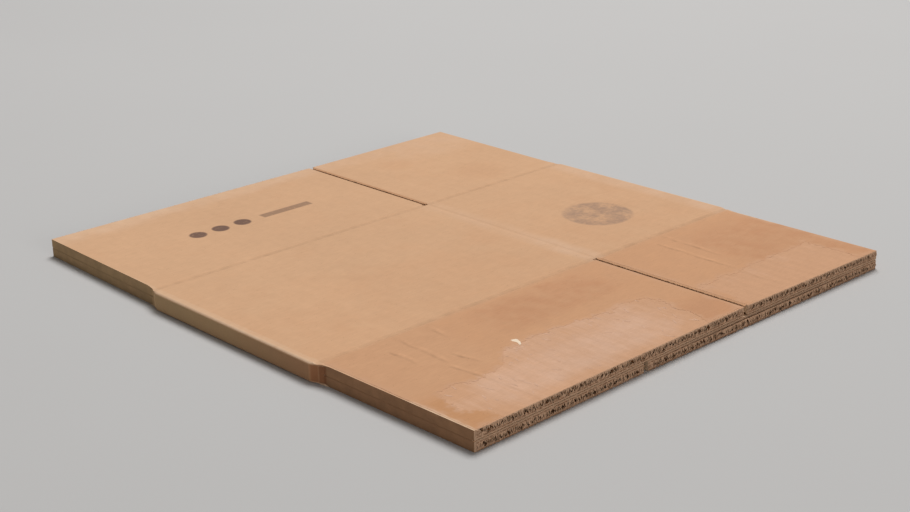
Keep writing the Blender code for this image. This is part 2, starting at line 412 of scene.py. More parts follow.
def wrinkle_lines(graph):
    """Long wrinkles across the front flaps, along the flutes: about 1 in a crease, below 0 on its ridge."""
    sway = WRINKLE_SWAY * graph.noise(WRINKLE_SWAY_LENGTH, detail=2.0, factors=(1.0, 0.0, 0.0))
    total = None
    for line_y, slope, start, end in WRINKLES:
        off = graph.y + sway - line_y - (graph.x - start) * slope
        present = graph.x.rise(start, start + WRINKLE_FADES[0]) * graph.x.rise(end, end - WRINKLE_FADES[1])
        crease = (off.near(*WRINKLE_CREASE) - 0.5 * off.near(*WRINKLE_RIDGE)) * present
        total = crease if total is None else total + crease
    return total * (0.55 + 3.2 * graph.noise(grain=6.0))


# Plain ink discs, a bar and a worn round field: middles, sizes and soft borders in millimetres
INK_DISCS = ((-129.0, -96.0), (-129.0, -79.0), (-129.0, -62.0))
INK_DISC_RADIUS = 5.6
INK_DISC_SOFT = 1.6
INK_BAR = (-129.0, -27.0)
INK_BAR_SIZE = (5.5, 38.0)
INK_BAR_SOFT = 1.2
INK_FIELD = (25.0, 104.5)
INK_FIELD_RADIUS = 22.5
INK_FIELD_SOFT = 3.2
# Where the ink's wear breaks it up, and where it leaves it whole
DISC_WEAR = (0.20, 0.80)
FIELD_WEAR = (0.05, 1.05)


def ink_coverage(graph):
    """Where the dark marks and the thin grey field hold ink, worn through in places."""
    wear = graph.noise(grain=2.4, detail=4.0, rough=0.7)
    smear = graph.noise(grain=9.0, detail=2.0)
    marks = None
    for middle in INK_DISCS:
        disc = graph.blot(middle, INK_DISC_RADIUS - INK_DISC_SOFT / 2, INK_DISC_SOFT)
        marks = disc if marks is None else marks.most(disc)
    bar = graph.x.near(INK_BAR[0], INK_BAR_SIZE[0], INK_BAR_SOFT)
    bar = bar * graph.y.near(INK_BAR[1], INK_BAR_SIZE[1], INK_BAR_SOFT)
    marks = marks.most(0.62 * bar) * (0.80 + 1.2 * wear).rise(*DISC_WEAR)
    field = graph.blot(INK_FIELD, INK_FIELD_RADIUS - INK_FIELD_SOFT / 2, INK_FIELD_SOFT)
    field = field * (0.60 + 1.5 * smear + 1.3 * wear).rise(*FIELD_WEAR)
    return marks, field


# Where the liner's tones begin and where they are full, in millimetres along the box or across it
BODY_DARKER = (-60.0, 60.0)
# Where the painted highlight along the panels' crease strengthens along the box
CREASE_HIGHLIGHT_ALONG = (10.0, 50.0)
SHORT_DUST_ACROSS = (84.0, 112.0)
# How the painted sheen on the rear end's rim weighs across the box
REAR_RIM_SHEEN_FAR = (50.0, 0.0)
REAR_RIM_SHEEN_NEAR = (-80.0, -140.0)
# Painted light: the liner grows paler towards the near side
NEAR_SIDE_PAINTED_LIGHT = (-60.0, -110.0)
# The same, counted from the front score, the rear end or the far fold
FRONT_DARKER = (-1.5, 2.0)
# Painted sheen along the rear end
REAR_SHEEN_BAND = (22, 9)
SHORT_DUST = (54, 24)
# Painted sheen on the rear end's rim
REAR_RIM_SHEEN = (16, 4)
FOLD_DUST = (-18, -7)
# Width and soft border of the painted highlight along the panels' crease, and soft border of the body's
# tones
CREASE_HIGHLIGHT_BAND = (5.0, 9.0)
BODY_SOFT = 6.0
# Soiled spots on the rear short flap: middle, radius and soft border
SOILED_SPOTS = (((-150.0, 88.0), 6.0, 12.0), ((-98.0, 118.0), 8.0, 22.0))


def body_liner(graph, plan, specks):
    """The outer liner: darker to the front, with painted sheen along the rear end, dusty on the rear short
    flap and at the far fold, with a painted highlight along the crease, and with specks.
    """
    look = group("board_look")
    drift = graph.noise(grain=24.0, detail=2.0)
    stain = graph.noise(grain=15.0)
    in_body = graph.x.near(plan.body_middle, plan.body_length, BODY_SOFT)
    dark = 0.30 * graph.x.rise(*BODY_DARKER) + 0.45 * graph.x.rise(*FRONT_DARKER, plan.front)
    dark = dark + 0.7 * drift + 0.5 * stain
    liner = graph.mix(dark.held(), look.kraft, look.kraft_dark)
    # Painted sheen along the rear end
    rear_sheen_band = (graph.x + 14 * drift).rise(*REAR_SHEEN_BAND, plan.rear_tip)
    short_rear = (graph.x + 26 * drift).rise(*SHORT_DUST, plan.rear_tip)
    short_rear = short_rear * (graph.y + 24 * stain).rise(*SHORT_DUST_ACROSS)
    dust_and_painted_light = (0.60 * rear_sheen_band).most(0.50 * short_rear)
    dust_and_painted_light = dust_and_painted_light.most(0.75 * (graph.y + 8 * drift).rise(*FOLD_DUST, plan.fold) * in_body)
    # Painted highlight along the crease's raised ridge
    crease_highlight = (0.40 + 0.45 * graph.x.rise(*CREASE_HIGHLIGHT_ALONG)) * in_body
    dust_and_painted_light = dust_and_painted_light.most((graph.y + 7 * drift).near(plan.line, *CREASE_HIGHLIGHT_BAND) * crease_highlight)
    patchy = 0.7 + 1.8 * stain
    liner = graph.mix((dust_and_painted_light * patchy).held(), liner, look.kraft_pale)
    # Painted sheen on the rear end's rim, in the rim highlight's colour
    rear_rim_sheen = (graph.x + 8 * drift).rise(*REAR_RIM_SHEEN, plan.rear_tip) * patchy
    rear_rim_sheen = rear_rim_sheen * (0.28 * graph.y.rise(*REAR_RIM_SHEEN_FAR) + 0.27 * graph.y.rise(*REAR_RIM_SHEEN_NEAR))
    liner = graph.mix(rear_rim_sheen.held(), liner, look.rim)
    spots = [graph.blot(*spot) for spot in SOILED_SPOTS]
    liner = graph.mix(0.35 * spots[0].most(spots[1]), liner, look.kraft_dark)
    return graph.mix(specks * 0.40, liner, look.speck)


# Where the torn fibres are palest, and where they darken at the cut end, the slot and the near side
PALE_FIBRES_ALONG = (146.0, 158.0)
PALE_FIBRES_ACROSS = (30.0, -20.0)
END_FIBRES = (174.0, 187.0)
SLOT_FIBRES = (-12.0, 6.0)
NEAR_FIBRES = (-126.0, -140.0)


def torn_fibres(graph):
    """Colour and relief of the bare fibres where the top ply is gone."""
    look = group("board_look")
    blotches = graph.noise(grain=17.0)
    streaks = graph.noise(grain=1.7, detail=4.0, rough=0.65, factors=ALONG_FLUTES)
    fuzz = graph.noise(grain=0.7, rough=0.7)
    pale = 0.40 + 1.2 * blotches + 0.9 * streaks
    pale = pale + 0.35 * graph.x.rise(*PALE_FIBRES_ALONG) * graph.y.rise(*PALE_FIBRES_ACROSS)
    pale = pale - 0.6 * graph.x.rise(*END_FIBRES) - 0.45 * graph.y.rise(*SLOT_FIBRES)
    pale = pale - 0.6 * graph.y.rise(*NEAR_FIBRES)
    tint = graph.shade(graph.mix(pale.held(), look.torn, look.torn_pale), 1 + 0.08 * streaks + 0.10 * fuzz)
    return tint, 0.04 * streaks + 0.05 * fuzz + 0.06 * blotches


# Where the near side's painted edge highlight widens and pales, its soft border, and the far side's stretch
# of painted highlight
RIM_WIDENS = (136.0, 156.0)
RIM_PALES = (138.0, 152.0)
RIM_SOFT = (0.8, -0.4)
FAR_RIM = (100.0, 26.0, 10.0)


def rim_highlight(graph, plan):
    """Painted highlight along the top edge over the near side, widest and palest towards the front corner.

    A shorter stretch of painted highlight runs over the far side, on the front short flap.
    """
    spread = 1.1 + 1.9 * graph.x.rise(*RIM_WIDENS) + 2.2 * graph.noise(grain=5.0)
    near_rim = (graph.y + plan.side - spread).rise(*RIM_SOFT) * (0.30 + 0.65 * graph.x.rise(*RIM_PALES))
    far_rim = (plan.side - graph.y - spread).rise(*RIM_SOFT) * graph.x.near(*FAR_RIM)
    return near_rim.most(0.7 * far_rim)


# Where the near side's painted shade turns browner along the box, and where the far side takes over from
# the near one
SIDE_SHADE_ALONG = (-40.0, 100.0)
FAR_SIDE = (-60.0, 60.0)
# Shoulders at a fold's two ends, the front one in painted shade and the rear one in painted light: how far
# past the score they lie, and the width and soft border of each
SHOULDER_SHIFT = 1.2
FRONT_SHOULDER = (7.0, 2.0)
REAR_SHOULDER = (6.0, 2.0)


def side_colour(graph, plan):
    """The upright sides: the near one darker than the far one and browner to the front, partly from crushed
    cut edges and partly as painted shade, with the front shoulder of a fold in painted shade and its rear
    shoulder in painted light.
    """
    look = group("board_look")
    cloud = graph.noise(grain=30.0)
    # Painted shade: the sides grow darker and browner towards the front
    seen = graph.mix((graph.x.rise(*SIDE_SHADE_ALONG) + 0.5 * cloud).held(), look.side, look.side_front_shade)
    # Painted shade on the fold's front shoulder
    front_shoulder_shade = graph.x.near(plan.front + SHOULDER_SHIFT, *FRONT_SHOULDER)
    seen = graph.mix(0.85 * front_shoulder_shade, seen, look.shoulder)
    # Painted light: the fold's rear shoulder made paler
    seen = graph.shade(seen, 1 + 0.35 * graph.x.near(plan.rear - SHOULDER_SHIFT, *REAR_SHOULDER))
    # The far side takes the plain darker kraft, while the near side keeps its painted shade
    return graph.mix((0.7 * graph.y.rise(*FAR_SIDE) + 0.3 * cloud).held(), seen, look.kraft_dark)


# How a face points that counts as an end or a side, as top, bottom, upright, or a fold's crest
SIDEWAYS = (0.6, 0.9)
UPWARDS = (0.4, 0.7)
DOWNWARDS = (-0.4, -0.7)
UPRIGHT = (0.65, 0.25)
CREST = (0.78, 0.30, 0.12)
# How deep the outer skin is, in millimetres, at the ends, cut sides, top, bottom and folds
END_SKIN = (-5.0, -4.0)
SIDE_SKIN = (-4.0, -3.0)
TOP_SKIN = (-0.8, -0.6)
BOTTOM_SKIN = (0.8, 0.6)
FOLD_SKIN = (-2.6, -2.0)
# How much longer than the body a fold's finish is, and its soft border
FOLD_OVERRUN = 8.0
FOLD_SOFT = 0.5
# Where torn fibres may start, from the front score, and where the painted highlight on a fold's crest grows
# paler along the box
TORN_START = (22, 30)
CREST_PALES = (-50.0, 40.0)
# Width and soft border of a score, and the glue's place beside the seam, width and soft border
SCORE_BAND = (1.6, 1.8)
GLUE_SHIFT = 3.0
GLUE_BAND = (3.0, 1.2)


def inner_board(graph, plan):
    """Inside of the flutes and between the layers, its wave paper painted paler to stand in for light in
    the flutes' shade, with paler cut edges, and cut sides darker from crushing and from painted shade.
    """
    look = group("board_look")
    strands = graph.noise(grain=0.8, factors=(0.5, 0.5, 3.0))
    smudges = graph.noise(grain=6.0, detail=2.0)
    # The wave paper, painted paler as light inside the flutes' shade
    inside = graph.shade(graph.plain(look.wave_paper_with_painted_light), 1.0 + 0.4 * strands)
    cut_end = abs(graph.x).rise(*END_SKIN, plan.tip) * abs(graph.ends).rise(*SIDEWAYS)
    rim = graph.shade(graph.plain(look.cut), 0.90 + 0.5 * strands + 0.3 * smudges)
    inside = graph.mix(cut_end, inside, rim)
    cut_side = abs(graph.sides).rise(*SIDEWAYS) * abs(graph.y).rise(*SIDE_SKIN, plan.side)
    # The cut sides are darker partly from crushing and partly from the near side's painted shade
    crushed = graph.shade(side_colour(graph, plan), 0.90 + 0.25 * strands + 0.5 * smudges)
    return graph.mix(cut_side, inside, crushed), 0.10 * strands


def board_material():
    """The whole box: liners, pressed lines, torn patch, ink, cut edges and hollows."""
    plan = Plan()
    look = group("board_look")
    prints = group("print_look")
    graph = Graph("kraft_board_worn")
    tone, relief, specks = paper_grain(graph)

    upper_face = graph.ups.rise(*UPWARDS) * graph.z.rise(*TOP_SKIN, plan.top)
    lower_face = graph.ups.rise(*DOWNWARDS) * graph.z.rise(*BOTTOM_SKIN, plan.bottom)
    at_fold = abs(graph.y).rise(*FOLD_SKIN, plan.fold)
    at_fold = at_fold * graph.x.near(plan.body_middle, plan.body_length + FOLD_OVERRUN, FOLD_SOFT)
    outside = upper_face.most(lower_face).most(at_fold)
    liner = body_liner(graph, plan, specks)

    # Torn fibres of the front flaps
    torn_here = upper_face * graph.x.rise(*TORN_START, plan.front)
    fibres, fibre_relief = torn_fibres(graph)
    liner = graph.mix(torn_here, liner, fibres)

    # Painted shade along the pressed lines, painted shading of the flutes that show through, painted shade
    # in the wrinkles' creases with painted highlight on their ridges, painted light towards the near side,
    # and painted highlight along the top edges
    score = graph.x.near(plan.rear, *SCORE_BAND).most(graph.x.near(plan.front, *SCORE_BAND))
    gaps = graph.noise(grain=6.0, factors=(0.2, 1.0, 1.0))
    broken = (0.55 + 2.2 * gaps).held()
    flutes = ((graph.y * MM / look.flute_pitch - look.wave_phase) * TURN).wave()
    wash = flutes * (upper_face.most(lower_face)) * (0.008 + 0.012 * torn_here)
    creased = wrinkle_lines(graph) * upper_face
    # Painted shading: darker along the scores and in the wrinkles' creases, lighter on their ridges, and
    # rippled by the flutes
    pressed = 1 - 0.13 * score * broken + 0.6 * wash - 0.07 * creased
    # Painted light towards the near side, with the painted shading of the lines
    liner = graph.shade(liner, (tone + 0.035 * graph.y.rise(*NEAR_SIDE_PAINTED_LIGHT)) * pressed)
    highlight_noise = graph.noise(grain=4.0, factors=(1.0, 1.0, 0.3))
    highlight_breakup = (0.5 + 1.6 * highlight_noise).held()
    # Painted highlight along the top edges, broken up by noise
    liner = graph.mix(rim_highlight(graph, plan) * upper_face * (0.4 + highlight_breakup).held(), liner, look.rim)

    # The folds' upright part takes the sides' darker colour as painted shade, and their crest is painted
    # pale as a painted highlight
    upright = abs(graph.ups).rise(*UPRIGHT) * at_fold
    liner = graph.mix(upright, liner, graph.shade(side_colour(graph, plan), 1.03 * tone))
    # Painted highlight on a fold's crest, paler towards the front
    crest = graph.ups.near(*CREST) * at_fold * (0.35 + highlight_breakup)
    crest = crest * (0.55 + 0.45 * graph.x.rise(*CREST_PALES))
    liner = graph.mix((0.9 * crest).held(), liner, look.rim)

    # Ink, and the glue that was pressed out along the seam below
    marks, field = ink_coverage(graph)
    liner = graph.mix(marks * upper_face * 0.86, liner, prints.ink)
    liner = graph.mix(field * upper_face * 0.70, liner, prints.grey_ink)
    bead = (graph.y + 3 * graph.noise(grain=7.0, detail=2.0)).near(-plan.line - GLUE_SHIFT, *GLUE_BAND)
    glue = lower_face * bead
    liner = graph.mix(glue * 0.45, liner, look.speck)

    inside, inside_relief = inner_board(graph, plan)
    tint = graph.mix(outside, inside, liner)
    height = relief + wash - 0.06 * creased + torn_here * fibre_relief + (1 - outside) * inside_relief
    rough = 0.88 + 0.08 * torn_here - 0.10 * at_fold - 0.35 * glue
    return graph.finish(tint, rough + 0.2 * graph.noise(grain=3.0, detail=2.0), height)


# Reddened ply: a patch on the long flap, along and across the box, and the short flap's far corner
RED_PATCH_ALONG = (104.0, 26.0, 10.0)
RED_PATCH_ACROSS = (-28.0, 66.0, 22.0)
RED_CORNER = (84.0, 112.0)
# Lighter ply: towards the near side, and beside the front score
LIGHT_ACROSS = (-88.0, -104.0)
LIGHT_ALONG = (150.0, 138.0)
LIGHT_AT_SCORE = (8.0, 2.0)
# The reddened corner beside the slot's open end, and the bare front corner
SLOT_CORNER_ALONG = (148.0, 172.0)
SLOT_CORNER_ACROSS = (22.0, 38.0, 12.0)
BARE_CORNER_ALONG = (146.0, 158.0)
BARE_CORNER_ACROSS = (-136.0, -150.0)
# Depths inside its torn border where the ply starts to show and where it is whole
PLY_THINS = (-2.5, 4.5)


def ply_material():
    """The darker top ply that stayed on the front flaps, thinning out to pale fibres at its torn border."""
    plan = Plan()
    look = group("board_look")
    graph = Graph("front_flap_ply")
    tone, relief, specks = paper_grain(graph)
    drift = graph.noise(grain=26.0, detail=2.0)
    stains = graph.noise(grain=9.0)
    red = (graph.x + 16 * stains).near(*RED_PATCH_ALONG) * (graph.y + 24 * drift).near(*RED_PATCH_ACROSS)
    red = red.most(graph.x.rise(*RED_CORNER) * (graph.y + 16 * drift).rise(*RED_CORNER))
    red = (red * (0.55 + 2.0 * stains)).held()
    light = (graph.y + 20 * drift).rise(*LIGHT_ACROSS) * graph.x.rise(*LIGHT_ALONG)
    light = light.most(0.8 * graph.x.rise(*LIGHT_AT_SCORE, plan.front))
    light = (light * (0.6 + 1.6 * stains)).held()
    liner = graph.mix(light, look.ply, look.kraft_dark)
    liner = graph.mix(red, liner, look.ply_red)
    slot_corner = (graph.x + 10 * stains).rise(*SLOT_CORNER_ALONG)
    slot_corner = slot_corner * (graph.y + 10 * stains).near(*SLOT_CORNER_ACROSS)
    liner = graph.mix(0.8 * slot_corner, liner, look.ply_red)
    bare_corner = graph.x.rise(*BARE_CORNER_ALONG) * graph.y.rise(*BARE_CORNER_ACROSS)
    liner = graph.mix(bare_corner, liner, look.kraft_orange)
    liner = graph.mix(specks * 0.45, liner, look.speck)
    creased = wrinkle_lines(graph)
    # Painted shade in the wrinkles' creases and painted highlight on their ridges
    liner = graph.shade(liner, tone * (1 - 0.17 * creased))
    # Painted highlight along the top edges of the ply
    liner = graph.mix(rim_highlight(graph, plan), liner, look.rim)
    depth = graph.node("ShaderNodeAttribute", {"attribute_name": BORDER_DEPTH}, output="Fac")
    whole = depth + 9.0 * stains + 3.0 * graph.noise(grain=1.6)
    whole = whole.rise(*PLY_THINS)
    fibres, fibre_relief = torn_fibres(graph)
    tint = graph.mix(whole, fibres, liner)
    height = relief - 0.07 * creased + (1 - whole) * fibre_relief
    return graph.finish(tint, 0.84 + 0.2 * stains, height, sheen=0.28)


def scrap_material(name, base, contrast):
    """Loose paper: dull, and streaked along its fibres."""
    graph = Graph(name)
    streaks = graph.noise(grain=0.5, factors=(1.0, 0.3, 1.0))
    clouds = graph.noise(grain=4.0, detail=2.0)
    tint = graph.shade(graph.plain(base), 1.0 + contrast * streaks + 0.3 * clouds)
    return graph.finish(tint, 0.93 + 0.1 * streaks, 0.03 * streaks)


def side_paper_material():
    """Crushed paper over the parting line of the two layers, coloured like the sides."""
    graph = Graph("crushed_side")
    streaks = graph.noise(grain=0.8, factors=(0.3, 1.0, 3.0))
    tint = graph.shade(side_colour(graph, Plan()), 0.80 + 0.3 * streaks)
    return graph.finish(tint, 0.93 + 0.1 * streaks, 0.03 * streaks)


def deselect():
    if bpy.context.object and bpy.context.object.mode != "OBJECT":
        bpy.ops.object.mode_set(mode="OBJECT")
    bpy.ops.object.select_all(action="DESELECT")


def settle(obj, name, material):
    """Names a finished piece, gives it its material, and lets it ride with the box."""
    obj.name = name
    obj.data.name = name
    obj.data.materials.clear()
    obj.data.materials.append(material)
    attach(obj, BODY)


def thicken(obj, thickness):
    """Gives a sheet its paper thickness, below the surface it was laid out on."""
    deselect()
    obj.select_set(True)
    bpy.context.view_layer.objects.active = obj
    modifier = obj.modifiers.new("paper", "SOLIDIFY")
    modifier.thickness = thickness
    modifier.offset = -1.0
    bpy.ops.object.modifier_apply(modifier=modifier.name)


def paper_sheet(columns, rows, shape):
    """A sheet of columns by rows cells. shape gives a point in millimetres for two shares from 0 to 1."""
    deselect()
    bpy.ops.mesh.primitive_grid_add(x_subdivisions=columns, y_subdivisions=rows, size=1, location=(0, 0, 0))
    obj = bpy.context.object
    for vert in obj.data.vertices:
        vert.co = Vector(shape(vert.co.x + 0.5, vert.co.y + 0.5)) * MM
    return obj


def join_all(objects):
    deselect()
    for obj in objects:
        obj.select_set(True)
    bpy.context.view_layer.objects.active = objects[0]
    bpy.ops.object.join()
    return bpy.context.object


# Border of the torn patch on the front long flap, in millimetres, from the front end round to it again
TORN_BORDER = (
    (196.0, 8.0), (172.0, 14.0), (150.0, 16.0), (139.0, 13.0), (135.0, 1.0), (140.5, -16.0),
    (134.5, -33.0), (131.5, -65.0), (137.0, -91.0), (148.0, -110.0), (151.0, -122.0), (147.5, -136.0),
    (148.0, -149.0), (157.0, -152.5), (168.0, -154.5), (174.0, -147.5), (196.0, -143.0),
)
# The short flap's scuffed patch: its start along X, that line's sway and its length, and the two ends
SCUFF_START = 151.5
SCUFF_SWAY = 3.0
SCUFF_SWAY_LENGTH = 18
SCUFF_SPAN = (50.0, 150.0)
# The scuffed border's raggedness as a share of the torn one's, and the margins' as a share of their width
SCUFF_RAGGED = 0.8
MARGIN_RAGGED = 0.4
# Where each border lies in the random pattern
TORN_PATTERN = 1.0
MARGIN_PATTERN = 3.0
SCUFF_PATTERN = 7.0
# The near side's margin, as a multiple of the others
NEAR_MARGIN = 1.4
# Swings of a ragged border: length along X and across in millimetres, shift of the pattern, and share
SWINGS = ((14, 14, 0.0, 1.0), (3.4, 2.1, 5.0, 0.75), (1.3, 1.0, 9.0, 0.45))
# Relief of the wrinkles in millimetres. The crease's share is its depth against the ridge's height.
RELIEF_SWAY = 0.8
RELIEF_SWAY_LENGTH = 12
RELIEF_FADES = (6, 14)
RELIEF_SWELL_LENGTH = 9
RIDGE_PLACE = 2.4
RIDGE_WIDTH = 1.7
CREASE_WIDTH = 1.3
CREASE_SHARE = 0.6
# A vertex nearer to the border than SNAP_SHARE of a mesh cell is moved onto it, where the border's slope,
# felt PROBE millimetres off, is at least LEAST_SLOPE
SNAP_SHARE = 0.75
PROBE = 0.2
LEAST_SLOPE = 0.2
# Height of the ply's upper side, as a multiple of its thickness
PLY_HEIGHT = 1.25
# How far past the front score the ply starts, in millimetres
PLY_START = 0.3
# Size of the border's loose spots and how far they reach inwards, in millimetres
LOOSE_SPOTS = 7
LOOSE_REACH = 1.6
PLY_SMOOTH_ANGLE = math.radians(40)


def inside_depth(point, ring):
    """How deep a point lies inside a closed ring of points, negative outside. All in millimetres."""
    px, py = point
    inside = False
    nearest = math.inf
    for index, (ax, ay) in enumerate(ring):
        bx, by = ring[(index + 1) % len(ring)]
        if (ay > py) != (by > py) and px < (bx - ax) * (py - ay) / (by - ay) + ax:
            inside = not inside
        run_x, run_y = bx - ax, by - ay
        along = ((px - ax) * run_x + (py - ay) * run_y) / (run_x * run_x + run_y * run_y)
        along = min(1.0, max(0.0, along))
        nearest = min(nearest, math.hypot(px - ax - along * run_x, py - ay - along * run_y))
    return nearest if inside else -nearest


def ragged(px, py, size, seed):
    """How much a torn border wanders at a point: broad swings, and small teeth along the fibres."""
    total = 0.0
    for along, across, shift, part in SWINGS:
        total += part * noise.noise(Vector((px / along, py / across, seed + shift)))
    return size * total


def wrinkle_height(px, py):
    """How high the long wrinkles stand at a point, as a share of their full height. Below 0 in a crease."""
    height = 0.0
    for line_y, slope, start, end in WRINKLES:
        if start < px < end:
            sway = RELIEF_SWAY * noise.noise(Vector((px / RELIEF_SWAY_LENGTH, line_y, 0.0)))
            off = py - line_y - (px - start) * slope + sway
            fade = min(1.0, (px - start) / RELIEF_FADES[0], (end - px) / RELIEF_FADES[1])
            swell = 0.6 + noise.noise(Vector((px / RELIEF_SWELL_LENGTH, line_y, 4.0)))
            ridge = math.exp(-((off - RIDGE_PLACE) / RIDGE_WIDTH) ** 2)
            crease = math.exp(-(off / CREASE_WIDTH) ** 2)
            height += fade * swell * (ridge - CREASE_SHARE * crease)
    return max(-1.0, min(1.0, height))


def snap_to_border(vert, is_gone, reach):
    """Moves a vertex that is nearer than reach to a border onto it, and returns how far outside it is."""
    px, py = vert.co.x / MM, vert.co.y / MM
    depth = is_gone(px, py)
    if abs(depth) < reach:
        slope = Vector((is_gone(px + PROBE, py) - depth, is_gone(px, py + PROBE) - depth)) / PROBE
        if slope.length > LEAST_SLOPE:
            step = -depth * slope / slope.length_squared
            step.length = min(step.length, reach)
            vert.co.x += step.x * MM
            vert.co.y += step.y * MM
            depth = 0.0
    return depth


def ply_sheet(name, span_x, span_y, is_gone, material):
    """A thin sheet of ply over a flap, cut away where is_gone is above zero, with a loose border."""
    tear = group("tear_look")
    top = HIGH.z / MM
    run_x = span_x[1] - span_x[0]
    run_y = span_y[1] - span_y[0]
    columns = round(run_x * MM / tear.cell)
    rows = round(run_y * MM / tear.cell)
    obj = paper_sheet(columns, rows, lambda u, v: (span_x[0] + u * run_x, span_y[0] + v * run_y, top))
    mesh = obj.data
    gone = [snap_to_border(vert, is_gone, SNAP_SHARE * tear.cell / MM) for vert in mesh.vertices]
    bpy.ops.object.mode_set(mode="EDIT")
    bpy.ops.mesh.select_mode(type="FACE")
    bpy.ops.mesh.select_all(action="DESELECT")
    bpy.ops.object.mode_set(mode="OBJECT")
    for face in mesh.polygons:
        face.select = sum(gone[index] for index in face.vertices) > 0.0
    bpy.ops.object.mode_set(mode="EDIT")
    bpy.ops.mesh.delete(type="FACE")
    bpy.ops.object.mode_set(mode="OBJECT")
    border = mesh.attributes.new(BORDER_DEPTH, "FLOAT", "POINT")
    for vert in mesh.vertices:
        px, py = vert.co.x / MM, vert.co.y / MM
        depth = -is_gone(px, py)
        border.data[vert.index].value = depth
        loose = max(0.0, noise.noise(Vector((px / LOOSE_SPOTS, py / LOOSE_SPOTS, 3.0))) + 0.1)
        vert.co.z = HIGH.z + PLY_HEIGHT * tear.ply
        vert.co.z += tear.lift * math.exp(-abs(depth) / LOOSE_REACH) * min(1.0, 2 * loose)
        vert.co.z += tear.wrinkle * wrinkle_height(px, py)
    thicken(obj, tear.ply)
    bpy.ops.object.shade_smooth_by_angle(angle=PLY_SMOOTH_ANGLE)
    settle(obj, name, material)


def ply_test(plan, is_long):
    """Returns the test of how far a point of a front flap lies past its ply's border, in millimetres."""
    tear = group("tear_look")
    size = tear.raggedness / MM
    margin = tear.margin / MM

    def is_gone(px, py):
        if is_long:
            torn = inside_depth((px, py), TORN_BORDER) + ragged(px, py, size, TORN_PATTERN)
            side = plan.long_side(px) + NEAR_MARGIN * margin - py
            slot = py - plan.line + plan.half_slot + margin
        else:
            start = SCUFF_START + SCUFF_SWAY * noise.noise(Vector((py / SCUFF_SWAY_LENGTH, 2.0, 0.0)))
            torn = min(px - start, py - SCUFF_SPAN[0], SCUFF_SPAN[1] - py)
            torn += ragged(px, py, SCUFF_RAGGED * size, SCUFF_PATTERN)
            side = py - plan.short_side(px) + margin
            slot = plan.line + plan.half_slot + margin - py
        end = px - plan.front_end(py) + margin
        wear = MARGIN_RAGGED * ragged(px, py, margin, MARGIN_PATTERN)
        return max(torn, side + wear, end + wear, slot + wear)

    return is_gone


# Loose shreds in millimetres: start along the box, distance from its end, span across it, and their ranges
SHREDS_START = 132.0
SHREDS_END = 3.0
SHREDS_ACROSS = (-150.0, 14.0)
SHRED_LENGTH = (1.6, 6.0)
SHRED_WIDTH = (0.35, 1.1)
SHRED_TURN = (-0.7, 0.7)
SHRED_RISE = (0.03, 0.11)
# How fast they thin out inside the torn border, and their least depth inside it
SHREDS_THIN_OUT = 14
SHREDS_LEAST_DEPTH = 1.0
# A shred's mesh cells, its tips' share of its width, its height over the board, and range of its patterns
SHRED_CELLS = (9, 3)
SHRED_TIP = 0.35
SHRED_CLEARANCE = 0.02
SHRED_PATTERNS = 50
# The curl of lifted paper beside the patch
FLECK = {"middle": (130.4, -80.8), "size": (11.0, 3.0), "turn": 0.20, "rise": 0.18, "bow": 3.2}
# Thickness of shreds, as a share of the ply's
SHRED_THICKNESS = 0.5
SHRED_SEED = 11


def shred(rng, middle, size, turn, rise, bow=0.0):
    """A small torn strip of paper, one end a little up, and bowed sideways by bow."""
    cos, sin = math.cos(turn), math.sin(turn)
    top = HIGH.z / MM + SHRED_CLEARANCE
    seed = rng.random() * SHRED_PATTERNS

    def shape(u, v):
        along = (u - 0.5) * size[0]
        width = size[1] * (SHRED_TIP + (1 - SHRED_TIP) * math.sin(math.pi * min(0.96, max(0.04, u))))
        across = (v - 0.5) * width + 0.35 * size[1] * noise.noise(Vector((u * 5, v * 3, seed)))
        across += 4 * bow * u * (1 - u)
        height = rise * (0.25 + 0.75 * u * u) * (1.0 - 0.4 * abs(v - 0.5))
        return middle[0] + along * cos - across * sin, middle[1] + along * sin + across * cos, top + height

    return paper_sheet(*SHRED_CELLS, shape)


# How deep frayed strips are rooted in the board, in millimetres, and how strongly short teeth prevail
ROOT_DEPTH = 0.25
SHORT_TEETH = 1.5


def frayed_edge(rng, start, end, inward, lean, reach, least=0.0):
    """A frayed strip of liner from start to end, in millimetres, rooted inward, with teeth that lean out.

    reach is the longest tooth, in metres, and least is the shortest one's share of it.
    """
    origin = Vector(start)
    run = Vector(end) - origin
    columns = max(2, round(run.length * MM / group("cut_look").step))
    shares = [least + (1 - least) * rng.random() ** SHORT_TEETH for _ in range(columns + 1)]

    def shape(u, v):
        root = origin + run * u + Vector(inward) * (ROOT_DEPTH * (1 - v))
        return root + Vector(lean) * (shares[round(u * columns)] * v * reach / MM)

    return paper_sheet(columns, 1, shape)


class OBJECT_OT_board_finish(bpy.types.Operator):
    """Gives the box its kraft board material"""

    bl_idname = "flat_box.board_finish"
    bl_label = "Board Finish"

    def execute(self, context):
        BOARD.data.materials.clear()
        BOARD.data.materials.append(board_material())
        return {"FINISHED"}


class OBJECT_OT_front_ply(bpy.types.Operator):
    """Lays the surviving top ply over the two upper front flaps"""

    bl_idname = "flat_box.front_ply"
    bl_label = "Front Ply"

    def execute(self, context):
        plan = Plan()
        material = ply_material()
        span_x = (plan.front + plan.half_score + PLY_START, plan.tip)
        ply_sheet("front_long_ply", span_x, (-plan.side, plan.line), ply_test(plan, True), material)
        ply_sheet("front_short_ply", span_x, (plan.line, plan.side), ply_test(plan, False), material)
        return {"FINISHED"}


